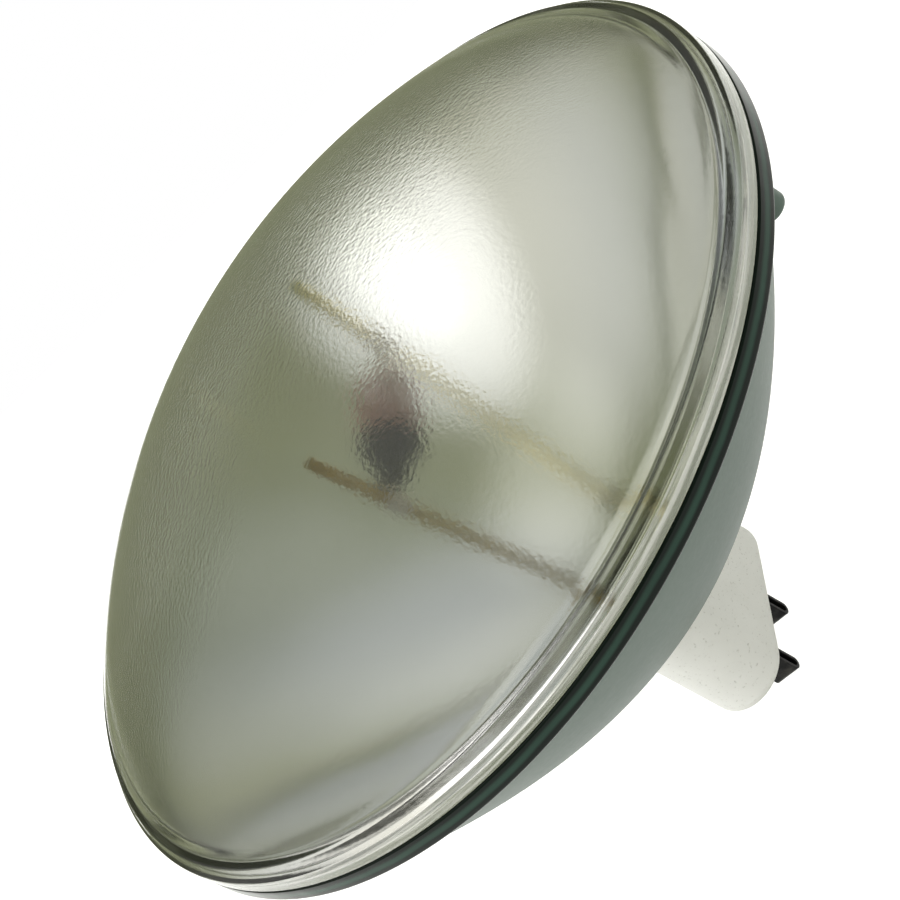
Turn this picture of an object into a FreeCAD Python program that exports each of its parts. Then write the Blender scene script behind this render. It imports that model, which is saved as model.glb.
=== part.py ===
"""Sealed-beam spotlight lamp of the eight inch size, with a long ceramic two-prong base.

The frame: the origin is the centre of the plane on which the back of the glass rim
seats, +Z runs along the optical axis towards the lens, and X joins the two prongs.
All lengths are millimetres.
"""
import FreeCAD, Part
import os
import math
import Sketcher

os.makedirs("parts", exist_ok=True)
doc = FreeCAD.newDocument("SpotlightLamp")

# Driving sizes. Widths, walls and gaps are measured from the piece that each one fits.
SIZES = {
    # Glass rim
    "rim_radius": 101.6,
    "rim_wall": 6.2,
    "seam_height": 4.8,
    "seam_chamfer": 0.5,
    # Front lens
    "lens_apex_height": 44.2,
    "lens_wall": 4.6,
    "lens_band_width": 4.4,
    "lens_bore_drop": 1.2,
    "lens_bore_inset": 1.2,
    "dome_edge_inset": 4.2,
    "dome_edge_rise": 3.7,
    "step_depth": 0.9,
    "step_width": 0.6,
    "bead_inset": 0.9,
    "bead_foot_rise": 0.8,
    "bead_shoulder_rise": 0.3,
    "bead_curve_radius": 3.2,
    # Reflector bowl
    "bowl_depth": 61.6,
    "bowl_wall": 4.6,
    "bowl_back_inset": 2.3,
    "mirror_rim_height": 1.0,
    "neck_length": 5.4,
    "neck_end_margin": 1.4,
    "neck_side_margin": 1.5,
    "exhaust_tip_length": 6.8,
    "exhaust_tip_radius": 2.6,
    "exhaust_tip_taper": 0.26,
    "exhaust_tip_cone": 2.6,
    "exhaust_tip_end_radius": 0.9,
    "exhaust_tip_end_drop": 0.2,
    "boss_inset": 5.6,
    "boss_radius": 3.5,
    "boss_length": 8.4,
    "boss_rounding": 1.4,
    "boss_angle": 85.0,
    # Ferrules and support rods
    "ferrule_spacing": 32.0,
    "ferrule_radius": 4.6,
    "ferrule_wall": 0.6,
    "ferrule_rounding": 0.48,
    "ferrule_seal_depth": 1.5,
    "ferrule_height": 3.6,
    "glass_bore_radius": 3.0,
    "rod_radius": 1.3,
    "rod_tip_gap": 7.6,
    "rod_bend_depth": 3.0,
    "rod_bend_radius": 14.0,
    # Capsule between the rods
    "capsule_height": 10.0,
    "bulb_radius": 6.6,
    "bulb_wall": 1.1,
    "bulb_shoulder": 3.0,
    "pinch_length": 8.0,
    "pinch_half_width": 4.2,
    "pinch_thickness": 3.4,
    "pip_radius": 1.5,
    "pip_height": 2.4,
    "pip_neck_height": 0.6,
    "pip_end_radius": 0.45,
    "foil_length": 4.0,
    "foil_width": 2.6,
    "foil_thickness": 0.3,
    "foil_cover": 2.0,
    "coil_radius": 1.5,
    "coil_wire_radius": 0.34,
    "coil_pitch": 1.9,
    "coil_turns": 8.0,
    "coil_end_room": 1.9,
    "inner_lead_play": 0.05,
    "inner_lead_overlap": 1.6,
    "outer_lead_radius": 0.55,
    "outer_lead_bare": 1.7,
    # Clips that tie the capsule to the rods
    "clip_wall": 0.6,
    "clip_height": 6.0,
    "clip_tab_reach": 2.0,
    "clip_tab_thickness": 1.6,
    "clip_tab_height": 4.2,
    # Ceramic base and its cement
    "base_length": 26.8,
    "base_wall": 2.6,
    "base_floor": 6.0,
    "base_rounding": 3.4,
    "base_front_gap": 0.3,
    "cement_end_gap": 1.0,
    "cement_side_gap": 1.1,
    "cement_front_gap": 0.6,
    # Contact prongs and their wires
    "prong_spacing": 16.6,
    "prong_length": 12.9,
    "prong_width": 6.4,
    "prong_thickness": 3.2,
    "strip_thickness": 0.8,
    "prong_foot": 2.2,
    "slot_clearance": 0.1,
    "wire_radius": 0.7,
    "wire_drop": 5.0,
    "wire_rise": 4.6,
    "wire_bend_radius": 2.5,
    # How far a cutting tool, or a root inside another solid, runs past a face
    "overrun": 1.0,
}

sheet = doc.addObject("Spreadsheet::Sheet", "Sizes")
for row, (alias, number) in enumerate(SIZES.items(), start=1):
    sheet.set(f"A{row}", alias)
    sheet.set(f"B{row}", str(number))
    sheet.setAlias(f"B{row}", alias)
doc.recompute()


class Size:
    """A length that knows both its number and the sheet expression behind it."""

    def __init__(self, number, text):
        self.number = float(number)
        self.text = text

    @staticmethod
    def of(other):
        return other if isinstance(other, Size) else Size(other, f"{float(other):.6f}")

    def __add__(self, other):
        other = Size.of(other)
        return Size(self.number + other.number, f"({self.text} + {other.text})")

    def __radd__(self, other):
        return Size.of(other) + self

    def __sub__(self, other):
        other = Size.of(other)
        return Size(self.number - other.number, f"({self.text} - {other.text})")

    def __rsub__(self, other):
        return Size.of(other) - self

    def __mul__(self, other):
        other = Size.of(other)
        return Size(self.number * other.number, f"({self.text} * {other.text})")

    def __rmul__(self, other):
        return Size.of(other) * self

    def __truediv__(self, other):
        other = Size.of(other)
        return Size(self.number / other.number, f"({self.text} / {other.text})")

    def __rtruediv__(self, other):
        return Size.of(other) / self

    def __neg__(self):
        return Size(-self.number, f"(-1 * {self.text})")

    def root(self):
        return Size(math.sqrt(self.number), f"sqrt({self.text})")

    def sine(self):
        """The sine of this many degrees."""
        return Size(math.sin(math.radians(self.number)), f"sin({self.text} * 1 deg)")

    def cosine(self):
        """The cosine of this many degrees."""
        return Size(math.cos(math.radians(self.number)), f"cos({self.text} * 1 deg)")

    def turn_angle(self):
        """The angle in degrees whose tangent is this number."""
        return Size(math.degrees(math.atan(self.number)), f"(atan({self.text}) / 1 deg)")


def size(alias):
    """The size that the sheet holds under one alias."""
    return Size(sheet.get(alias), f"Sizes.{alias}")


def new_body(label):
    """An empty body whose label is also the name of its node."""
    body = doc.addObject("PartDesign::Body", label)
    body.Label = label
    return body


def origin_feature(body, role):
    """The origin plane or axis of a body that has the given role."""
    return next(item for item in body.Origin.OriginFeatures if item.Role == role)


def sketch_on(body, role, name, offset=None):
    """A sketch on an origin plane of its body, moved along the plane's normal."""
    sketch = body.newObject("Sketcher::SketchObject", name)
    sketch.AttachmentSupport = [(origin_feature(body, role), "")]
    sketch.MapMode = "FlatFace"
    if offset is not None:
        sketch.setExpression(".AttachmentOffset.Base.z", offset.text)
    return sketch


def bind(sketch, constraint, length):
    """Add a dimension to a sketch and let the sheet drive it."""
    index = sketch.addConstraint(constraint)
    sketch.setExpression(f"Constraints[{index}]", length.text)


def pin(sketch, geometry, end, across, along):
    """Dimension one point of the sketch from its origin in both directions."""
    bind(sketch, Sketcher.Constraint("DistanceX", -1, 1, geometry, end, across.number), across)
    bind(sketch, Sketcher.Constraint("DistanceY", -1, 1, geometry, end, along.number), along)


def flat(across, along):
    """A point of the sketch plane from two sizes."""
    return FreeCAD.Vector(across.number, along.number, 0)


def draw_arc(start, finish, radius, side):
    """A minor arc between two points; side +1 bulges to the right of the way it runs."""
    chord = finish - start
    middle = (start + finish) * 0.5
    across = FreeCAD.Vector(chord.y, -chord.x, 0)
    across.normalize()
    half = chord.Length / 2
    sagitta = radius - math.sqrt(radius * radius - half * half)
    return Part.Arc(start, middle + across * sagitta * side, finish)


def outline(sketch, corners, arcs=None, parabola=None):
    """A closed outline through corners, each a pair of sizes.

    arcs maps the number of a corner to (radius, side) for the arc that leaves it. The
    side that leaves corner number parabola is half a parabola with its vertex on the
    upright axis, drawn as the curve of degree two whose middle pole is level with the
    vertex and half way out.
    """
    arcs = arcs or {}
    points = [(Size.of(across), Size.of(along)) for across, along in corners]
    count = len(points)
    sides = []
    ends = []
    for number in range(count):
        start = flat(*points[number])
        finish = flat(*points[(number + 1) % count])
        if number in arcs:
            radius, side = arcs[number]
            geometry = sketch.addGeometry(draw_arc(start, finish, radius.number, side), False)
            first_is_start = sketch.getPoint(geometry, 1).distanceToPoint(start) < 1e-6
            bind(sketch, Sketcher.Constraint("Radius", geometry, radius.number), radius)
            ends.append((1, 2) if first_is_start else (2, 1))
        elif number == parabola:
            vertex, rim = sorted((start, finish), key=lambda point: abs(point.x))
            pole = FreeCAD.Vector(rim.x / 2, vertex.y, 0)
            curve = Part.BSplineCurve()
            curve.buildFromPolesMultsKnots([start, pole, finish], [3, 3], [0, 1], False, 2)
            geometry = sketch.addGeometry(curve, False)
            ends.append((1, 2))
        else:
            geometry = sketch.addGeometry(Part.LineSegment(start, finish), False)
            ends.append((1, 2))
        sides.append(geometry)
    for number in range(count):
        following = (number + 1) % count
        sketch.addConstraint(Sketcher.Constraint(
            "Coincident", sides[number], ends[number][1], sides[following], ends[following][0]))
        pin(sketch, sides[number], ends[number][0], *points[number])
    if parabola is not None:
        first_pole = sketch.GeometryCount
        sketch.exposeInternalGeometry(sides[parabola])
        start, finish = points[parabola], points[(parabola + 1) % count]
        vertex, rim = sorted((start, finish), key=lambda point: abs(point[0].number))
        pin(sketch, first_pole + 1, 3, rim[0] / 2, vertex[1])
    return sides


def stadium(sketch, half_length, half_width):
    """A slot outline along the sketch's first axis: two straights and two half circles."""
    centre = half_length - half_width
    cx, r = centre.number, half_width.number
    up = FreeCAD.Vector(0, 0, 1)
    right = sketch.addGeometry(Part.ArcOfCircle(
        Part.Circle(FreeCAD.Vector(cx, 0, 0), up, r), -math.pi / 2, math.pi / 2), False)
    left = sketch.addGeometry(Part.ArcOfCircle(
        Part.Circle(FreeCAD.Vector(-cx, 0, 0), up, r), math.pi / 2, 3 * math.pi / 2), False)
    top = sketch.addGeometry(Part.LineSegment(
        FreeCAD.Vector(cx, r, 0), FreeCAD.Vector(-cx, r, 0)), False)
    bottom = sketch.addGeometry(Part.LineSegment(
        FreeCAD.Vector(-cx, -r, 0), FreeCAD.Vector(cx, -r, 0)), False)
    for first, first_end, second, second_end in (
            (right, 2, top, 1), (top, 2, left, 1), (left, 2, bottom, 1), (bottom, 2, right, 1)):
        sketch.addConstraint(Sketcher.Constraint("Tangent", first, first_end, second, second_end))
    pin(sketch, right, 3, centre, Size.of(0))
    bind(sketch, Sketcher.Constraint("DistanceX", -1, 1, left, 3, -cx), -centre)
    bind(sketch, Sketcher.Constraint("Radius", right, r), half_width)
    sketch.addConstraint(Sketcher.Constraint("PointOnObject", left, 3, -1))


def circle(sketch, across, along, radius):
    """A circle with a dimensioned centre and radius."""
    across, along = Size.of(across), Size.of(along)
    geometry = sketch.addGeometry(
        Part.Circle(flat(across, along), FreeCAD.Vector(0, 0, 1), radius.number), False)
    pin(sketch, geometry, 3, across, along)
    bind(sketch, Sketcher.Constraint("Radius", geometry, radius.number), radius)


def bent_path(sketch, corners, radius):
    """An open run of straights joined by tangent arcs of one radius near each corner."""
    points = [flat(*corner) for corner in corners]
    trims = []
    for before, corner, after in zip(points, points[1:], points[2:]):
        back = (before - corner).normalize()
        ahead = (after - corner).normalize()
        turn = math.pi - back.getAngle(ahead)
        cut = radius.number * math.tan(turn / 2)
        trims.append((corner + back * cut, corner + ahead * cut, back, ahead, turn))
    starts = [points[0]] + [trim[1] for trim in trims]
    finishes = [trim[0] for trim in trims] + [points[-1]]
    straights = [sketch.addGeometry(Part.LineSegment(start, finish), False)
                 for start, finish in zip(starts, finishes)]
    edges = len(straights)
    for number, (entry, leave, back, ahead, turn) in enumerate(trims):
        corner = points[number + 1]
        reach = radius.number / math.cos(turn / 2) - radius.number
        middle = corner + (back + ahead).normalize() * reach
        arc = sketch.addGeometry(Part.Arc(entry, middle, leave), False)
        forward = sketch.getPoint(arc, 1).distanceToPoint(entry) < 1e-6
        first, second = (1, 2) if forward else (2, 1)
        sketch.addConstraint(Sketcher.Constraint("Tangent", straights[number], 2, arc, first))
        sketch.addConstraint(Sketcher.Constraint("Tangent", arc, second, straights[number + 1], 1))
        bind(sketch, Sketcher.Constraint("Radius", arc, radius.number), radius)
        mark = sketch.addGeometry(Part.Point(corner), True)
        pin(sketch, mark, 1, *corners[number + 1])
        sketch.addConstraint(Sketcher.Constraint("PointOnObject", mark, 1, straights[number]))
        sketch.addConstraint(Sketcher.Constraint("PointOnObject", mark, 1, straights[number + 1]))
        edges += 1
    pin(sketch, straights[0], 1, *corners[0])
    pin(sketch, straights[-1], 2, *corners[-1])
    return [f"Edge{number + 1}" for number in range(edges)]


def revolve(body, sketch, name, kind="PartDesign::Revolution"):
    """Turn a sketch fully round the axis that stands upright in it."""
    feature = body.newObject(kind, name)
    feature.Profile = sketch
    feature.ReferenceAxis = (sketch, ["V_Axis"])
    feature.Angle = 360
    sketch.Visibility = False
    return feature


def pad(body, sketch, name, length, kind="PartDesign::Pad", midplane=False, reverse=False):
    """Raise or cut a sketch by a driven length."""
    feature = body.newObject(kind, name)
    feature.Profile = sketch
    feature.setExpression("Length", length.text)
    feature.Midplane = midplane
    feature.Reversed = reverse
    sketch.Visibility = False
    return feature


def pipe(body, profile, path, edges, name):
    """Sweep a profile along a path sketch."""
    feature = body.newObject("PartDesign::AdditivePipe", name)
    feature.Profile = profile
    feature.Spine = (path, edges)
    profile.Visibility = False
    path.Visibility = False
    return feature


def edges_where(feature, test):
    """Names of the edges of a feature that pass a test."""
    return [f"Edge{number}" for number, edge in enumerate(feature.Shape.Edges, start=1)
            if test(edge)]


def round_edges(body, base, edges, radius, name, kind="PartDesign::Fillet"):
    """Round or bevel named edges of a feature."""
    feature = body.newObject(kind, name)
    feature.Base = (base, edges)
    feature.setExpression("Radius" if kind.endswith("Fillet") else "Size", radius.text)
    return feature


nodes = []
SIDES = (("left", -1), ("right", 1))

# Front lens: a domed cover of even wall with a beaded rim that meets the bowl at the seam.
rim_radius = size("rim_radius")
rim_bore_radius = rim_radius - size("rim_wall")
seam_height = size("seam_height")
seam_chamfer = size("seam_chamfer")
overrun = size("overrun")
lens_apex = size("lens_apex_height")
lens_band = seam_height + size("lens_band_width")
bead_outer_radius = rim_radius - size("bead_inset")
dome_edge_radius = rim_radius - size("dome_edge_inset")
dome_edge_height = lens_band + size("dome_edge_rise")
dome_rise = lens_apex - dome_edge_height
dome_curve = (dome_edge_radius * dome_edge_radius + dome_rise * dome_rise) / (2 * dome_rise)
inner_curve = dome_curve - size("lens_wall")
inner_edge_radius = rim_bore_radius - size("lens_bore_inset")
dome_centre = lens_apex - dome_curve
inner_edge_height = dome_centre + (inner_curve * inner_curve
                                   - inner_edge_radius * inner_edge_radius).root()

front_lens = new_body("front_lens")
lens_profile = sketch_on(front_lens, "XZ_Plane", "lens_profile")
outline(lens_profile, [
    (0, lens_apex),
    (dome_edge_radius, dome_edge_height),
    (dome_edge_radius + size("step_width"), dome_edge_height - size("step_depth")),
    (bead_outer_radius, lens_band + size("bead_foot_rise")),
    (bead_outer_radius, lens_band + size("bead_shoulder_rise")),
    (rim_radius, lens_band),
    (rim_radius, seam_height + seam_chamfer),
    (rim_radius - seam_chamfer, seam_height),
    (rim_bore_radius, seam_height),
    (rim_bore_radius, lens_band - size("lens_bore_drop")),
    (inner_edge_radius, inner_edge_height),
    (0, lens_apex - size("lens_wall")),
], arcs={0: (dome_curve, -1), 2: (size("bead_curve_radius"), -1), 10: (inner_curve, 1)})
revolve(front_lens, lens_profile, "lens_turning")
nodes.append(front_lens)

# Reflector bowl: a pressed glass paraboloid with its rim, a slot-shaped neck at the back
# for the two ferrules, three locating bosses behind the rim and a sealed exhaust tip.
bowl_depth = size("bowl_depth")
bowl_back_radius = rim_radius - size("bowl_back_inset")
mirror_depth = bowl_depth - size("bowl_wall")
half_ferrules = size("ferrule_spacing") / 2
ferrule_radius = size("ferrule_radius")
ferrule_wall = size("ferrule_wall")
neck_end = -(bowl_depth + size("neck_length"))
neck_half_length = half_ferrules + ferrule_radius + size("neck_end_margin")
neck_half_width = ferrule_radius + size("neck_side_margin")


def bowl_back_height(reach):
    """Height of the parabola of the bowl's back at a distance from the axis."""
    share = reach / bowl_back_radius
    return bowl_depth * (share * share) - bowl_depth


def mirror_height(reach):
    """Height of the mirror's parabola at a distance from the axis."""
    share = reach / rim_bore_radius
    return (mirror_depth + size("mirror_rim_height")) * (share * share) - mirror_depth


reflector_bowl = new_body("reflector_bowl")
bowl_profile = sketch_on(reflector_bowl, "XZ_Plane", "bowl_profile")
outline(bowl_profile, [
    (0, -bowl_depth),
    (bowl_back_radius, 0),
    (rim_radius - seam_chamfer, 0),
    (rim_radius, seam_chamfer),
    (rim_radius, seam_height - seam_chamfer),
    (rim_radius - seam_chamfer, seam_height),
    (0, seam_height),
], parabola=0)
revolve(reflector_bowl, bowl_profile, "bowl_turning")

boss_circle_radius = rim_radius - size("boss_inset")
boss_radius = size("boss_radius")
boss_length = size("boss_length")
boss_rounding = size("boss_rounding")
boss_angle = size("boss_angle")
boss_profile = sketch_on(reflector_bowl, "XZ_Plane", "boss_profile",
                         -(boss_circle_radius * boss_angle.sine()))
boss_profile.setExpression(
    ".AttachmentOffset.Base.x", (boss_circle_radius * boss_angle.cosine()).text)
outline(boss_profile, [
    (0, overrun),
    (0, -boss_length),
    (boss_radius - boss_rounding, -boss_length),
    (boss_radius, boss_rounding - boss_length),
    (boss_radius, overrun),
], arcs={2: (boss_rounding, 1)})
boss = revolve(reflector_bowl, boss_profile, "boss")
bosses = reflector_bowl.newObject("PartDesign::PolarPattern", "bosses")
bosses.Originals = [boss]
bosses.Axis = (origin_feature(reflector_bowl, "Z_Axis"), [""])
bosses.Angle = 360
bosses.Occurrences = 3
reflector_bowl.Tip = bosses
doc.recompute()

neck_profile = sketch_on(reflector_bowl, "XY_Plane", "neck_profile", neck_end)
stadium(neck_profile, neck_half_length, neck_half_width)
pad(reflector_bowl, neck_profile, "neck",
    bowl_back_height(neck_half_length) + overrun - neck_end)

tip_profile = sketch_on(reflector_bowl, "XZ_Plane", "tip_profile")
tip_radius = size("exhaust_tip_radius")
tip_end = neck_end - size("exhaust_tip_length")
outline(tip_profile, [
    (0, neck_end + overrun),
    (tip_radius, neck_end + overrun),
    (tip_radius - size("exhaust_tip_taper"), tip_end + size("exhaust_tip_cone")),
    (size("exhaust_tip_end_radius"), tip_end + size("exhaust_tip_end_drop")),
    (0, tip_end),
])
revolve(reflector_bowl, tip_profile, "exhaust_tip")

cavity_profile = sketch_on(reflector_bowl, "XZ_Plane", "cavity_profile")
outline(cavity_profile, [
    (0, -mirror_depth),
    (rim_bore_radius, size("mirror_rim_height")),
    (rim_bore_radius, seam_height + overrun),
    (0, seam_height + overrun),
], parabola=0)
revolve(reflector_bowl, cavity_profile, "mirror_cavity", "PartDesign::Groove")

bore_radius = size("glass_bore_radius")
bores_profile = sketch_on(reflector_bowl, "XY_Plane", "bores_profile", neck_end)
circle(bores_profile, -half_ferrules, 0, bore_radius)
circle(bores_profile, half_ferrules, 0, bore_radius)
pad(reflector_bowl, bores_profile, "bores",
    mirror_height(half_ferrules + bore_radius) + overrun - neck_end,
    "PartDesign::Pocket", reverse=True)

seals_profile = sketch_on(reflector_bowl, "XY_Plane", "seals_profile", neck_end)
for way in (-half_ferrules, half_ferrules):
    circle(seals_profile, way, 0, ferrule_radius)
    circle(seals_profile, way, 0, ferrule_radius - ferrule_wall)
pad(reflector_bowl, seals_profile, "ferrule_seals", size("ferrule_seal_depth"),
    "PartDesign::Pocket", reverse=True)
nodes.append(reflector_bowl)

# Ferrules: thin metal cups whose mouths are sealed into the glass neck.
ferrule_mouth = neck_end + size("ferrule_seal_depth")
ferrule_back = neck_end - size("ferrule_height")
for side, sign in SIDES:
    ferrule = new_body(f"ferrule_{side}")
    ferrule_profile = sketch_on(ferrule, "XZ_Plane", f"ferrule_profile_{side}")
    outline(ferrule_profile, [
        (0, ferrule_back),
        (ferrule_radius, ferrule_back),
        (ferrule_radius, ferrule_mouth),
        (ferrule_radius - ferrule_wall, ferrule_mouth),
        (ferrule_radius - ferrule_wall, ferrule_back + ferrule_wall),
        (0, ferrule_back + ferrule_wall),
    ])
    cup = revolve(ferrule, ferrule_profile, f"ferrule_turning_{side}")
    doc.recompute()
    outer = edges_where(cup, lambda edge: abs(edge.BoundBox.ZMax - ferrule_back.number) < 1e-4
                        and edge.BoundBox.XLength > ferrule_radius.number)
    round_edges(ferrule, cup, outer, size("ferrule_rounding"), f"ferrule_edge_{side}")
    ferrule.setExpression(".Placement.Base.x", (half_ferrules * sign).text)
    nodes.append(ferrule)

# The capsule's reach along X sets where the rods pass it, and so how far they lean.
capsule_height = size("capsule_height")
bulb_wall = size("bulb_wall")
coil_half = size("coil_pitch") * size("coil_turns") / 2
bulb_half = coil_half + size("coil_end_room") + bulb_wall
pinch_end = bulb_half + size("pinch_length")
tab_face = pinch_end + size("outer_lead_bare")
rod_radius = size("rod_radius")
tab_inner = rod_radius + size("clip_tab_reach")
rod_at_capsule = tab_face + tab_inner

# Support rods: brazed into the ferrules, bent just inside the bowl and leaning outwards.
rod_foot = ferrule_back + ferrule_wall
rod_bend = -(mirror_depth + size("rod_bend_depth"))
rod_tip = lens_apex - size("lens_wall") - size("rod_tip_gap")
lean = (rod_at_capsule - half_ferrules) / (capsule_height - rod_bend)
half_tips = half_ferrules + lean * (rod_tip - rod_bend)
for side, sign in SIDES:
    rod = new_body(f"support_rod_{side}")
    rod_path = sketch_on(rod, "XZ_Plane", f"rod_path_{side}")
    run = bent_path(rod_path, [
        (half_ferrules * sign, rod_foot),
        (half_ferrules * sign, rod_bend),
        (half_tips * sign, rod_tip),
    ], size("rod_bend_radius"))
    rod_section = sketch_on(rod, "XY_Plane", f"rod_section_{side}", rod_foot)
    circle(rod_section, half_ferrules * sign, 0, rod_radius)
    pipe(rod, rod_section, rod_path, run, f"rod_sweep_{side}")
    nodes.append(rod)

# Clips: a strap round each rod with a tab towards the capsule, square to the leaning rod.
lean_angle = lean.turn_angle()
clip_wall = size("clip_wall")
clip_height = size("clip_height")
half_tab = size("clip_tab_thickness") / 2
clips = {}
for side, sign in SIDES:
    clip = new_body(f"rod_clip_{side}")
    strap_profile = sketch_on(clip, "XY_Plane", f"strap_profile_{side}")
    circle(strap_profile, 0, 0, rod_radius + clip_wall)
    strap = pad(clip, strap_profile, f"strap_{side}", clip_height, midplane=True)
    tab_profile = sketch_on(clip, "XY_Plane", f"tab_profile_{side}")
    outline(tab_profile, [
        (-tab_inner * sign, -half_tab),
        (Size.of(0), -half_tab),
        (Size.of(0), half_tab),
        (-tab_inner * sign, half_tab),
    ])
    pad(clip, tab_profile, f"tab_{side}", size("clip_tab_height"), midplane=True)
    grip_profile = sketch_on(clip, "XY_Plane", f"grip_profile_{side}")
    circle(grip_profile, 0, 0, rod_radius)
    pad(clip, grip_profile, f"grip_{side}", clip_height + overrun * 2, "PartDesign::Pocket",
        midplane=True)
    clip.Placement = FreeCAD.Placement(
        FreeCAD.Vector(), FreeCAD.Rotation(FreeCAD.Vector(0, sign, 0), lean_angle.number))
    clip.setExpression(".Placement.Rotation.Angle", lean_angle.text)
    clip.setExpression(".Placement.Base.x", (rod_at_capsule * sign).text)
    clip.setExpression(".Placement.Base.z", capsule_height.text)
    clips[side] = clip
    nodes.append(clip)

# Leads and foils inside the pinch seals, on the capsule's own axis.
foil_end = pinch_end - size("foil_cover")
foil_start = foil_end - size("foil_length")
inner_lead_radius = size("coil_radius") - size("coil_wire_radius") - size("inner_lead_play")
inner_lead_start = coil_half - size("inner_lead_overlap")


def cross_cylinder(name, sign, start, finish, radius):
    """A round wire along X on the capsule's axis, on one side of the middle."""
    wire = doc.addObject("Part::Cylinder", name)
    wire.Placement = FreeCAD.Placement(
        FreeCAD.Vector(), FreeCAD.Rotation(FreeCAD.Vector(0, 1, 0), 90))
    wire.setExpression("Radius", radius.text)
    wire.setExpression("Height", (finish - start).text)
    wire.setExpression(".Placement.Base.x", (start if sign > 0 else -finish).text)
    wire.setExpression(".Placement.Base.z", capsule_height.text)
    return wire


sealed = []
for side, sign in SIDES:
    inner_lead = cross_cylinder(
        f"inner_lead_{side}", sign, inner_lead_start, foil_start, inner_lead_radius)
    foil = doc.addObject("Part::Box", f"seal_foil_{side}")
    foil.setExpression("Length", size("foil_length").text)
    foil.setExpression("Width", size("foil_width").text)
    foil.setExpression("Height", size("foil_thickness").text)
    foil.setExpression(".Placement.Base.x", (foil_start if sign > 0 else -foil_end).text)
    foil.setExpression(".Placement.Base.y", (-size("foil_width") / 2).text)
    foil.setExpression(
        ".Placement.Base.z", (capsule_height - size("foil_thickness") / 2).text)
    lead_stock = cross_cylinder(
        f"lead_stock_{side}", sign, foil_end, tab_face + overrun, size("outer_lead_radius"))
    outer_lead = doc.addObject("Part::Cut", f"outer_lead_{side}")
    outer_lead.Base = lead_stock
    outer_lead.Tool = clips[side]
    sealed += [inner_lead, foil, outer_lead]
nodes += sealed

# Filament: one coil of round wire slipped over the ends of the two inner leads.
filament_coil = new_body("filament_coil")
wire_section = sketch_on(filament_coil, "XZ_Plane", "wire_section")
circle(wire_section, -coil_half, size("coil_radius"), size("coil_wire_radius"))
winding = filament_coil.newObject("PartDesign::AdditiveHelix", "winding")
winding.Profile = wire_section
winding.ReferenceAxis = (wire_section, ["H_Axis"])
winding.Mode = "pitch-turns-angle"
winding.setExpression("Pitch", size("coil_pitch").text)
winding.setExpression("Turns", size("coil_turns").text)
filament_coil.setExpression(".Placement.Base.z", capsule_height.text)
nodes.append(filament_coil)

# Capsule envelope: a quartz tube across the lamp with a flat pinch seal at each end.
bulb_radius = size("bulb_radius")
shoulder = size("bulb_shoulder")
bore = bulb_radius - bulb_wall
capsule_glass = new_body("capsule_glass")
tube_profile = sketch_on(capsule_glass, "YZ_Plane", "tube_profile", -bulb_half)
circle(tube_profile, 0, 0, bulb_radius)
tube = pad(capsule_glass, tube_profile, "tube", bulb_half * 2)
doc.recompute()
tube_ends = edges_where(tube, lambda edge: edge.BoundBox.XLength < 1e-4)
round_edges(capsule_glass, tube, tube_ends, shoulder, "shoulders")
pinch_profile = sketch_on(capsule_glass, "XY_Plane", "pinch_profile")
pinch_half_width = size("pinch_half_width")
outline(pinch_profile, [
    (-pinch_end, -pinch_half_width),
    (pinch_end, -pinch_half_width),
    (pinch_end, pinch_half_width),
    (-pinch_end, pinch_half_width),
])
pad(capsule_glass, pinch_profile, "pinches", size("pinch_thickness"), midplane=True)
pip_profile = sketch_on(capsule_glass, "XZ_Plane", "pip_profile")
pip_radius = size("pip_radius")
pip_top = bulb_radius + size("pip_height")
pip_root = bulb_radius - bulb_wall / 2
outline(pip_profile, [
    (0, pip_root),
    (pip_radius, pip_root),
    (pip_radius, bulb_radius + size("pip_neck_height")),
    (size("pip_end_radius"), pip_top),
    (0, pip_top),
])
revolve(capsule_glass, pip_profile, "pip")
hollow_profile = sketch_on(capsule_glass, "XZ_Plane", "hollow_profile")
hollow_half = bulb_half - bulb_wall
outline(hollow_profile, [
    (-hollow_half, 0),
    (-hollow_half, bore - shoulder),
    (-hollow_half + shoulder, bore),
    (hollow_half - shoulder, bore),
    (hollow_half, bore - shoulder),
    (hollow_half, 0),
])
hollow = revolve(capsule_glass, hollow_profile, "hollow", "PartDesign::Groove")
hollow.ReferenceAxis = (hollow_profile, ["H_Axis"])
capsule_glass.setExpression(".Placement.Base.z", capsule_height.text)

embedded = doc.addObject("Part::MultiFuse", "embedded_metal")
embedded.Shapes = sealed
capsule_envelope = doc.addObject("Part::Cut", "capsule_envelope")
capsule_envelope.Base = capsule_glass
capsule_envelope.Tool = embedded
nodes.append(capsule_envelope)

# Ceramic base: a slot-shaped shell, open where it is cemented over the glass neck.
base_wall = size("base_wall")
base_room_half_length = neck_half_length + size("cement_end_gap")
base_room_half_width = neck_half_width + size("cement_side_gap")
base_half_length = base_room_half_length + base_wall
base_half_width = base_room_half_width + base_wall
base_end = neck_end - size("base_length")
base_floor = size("base_floor")
half_prongs = size("prong_spacing") / 2
prong_thickness = size("prong_thickness")
prong_width = size("prong_width")
slot_clearance = size("slot_clearance")

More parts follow.
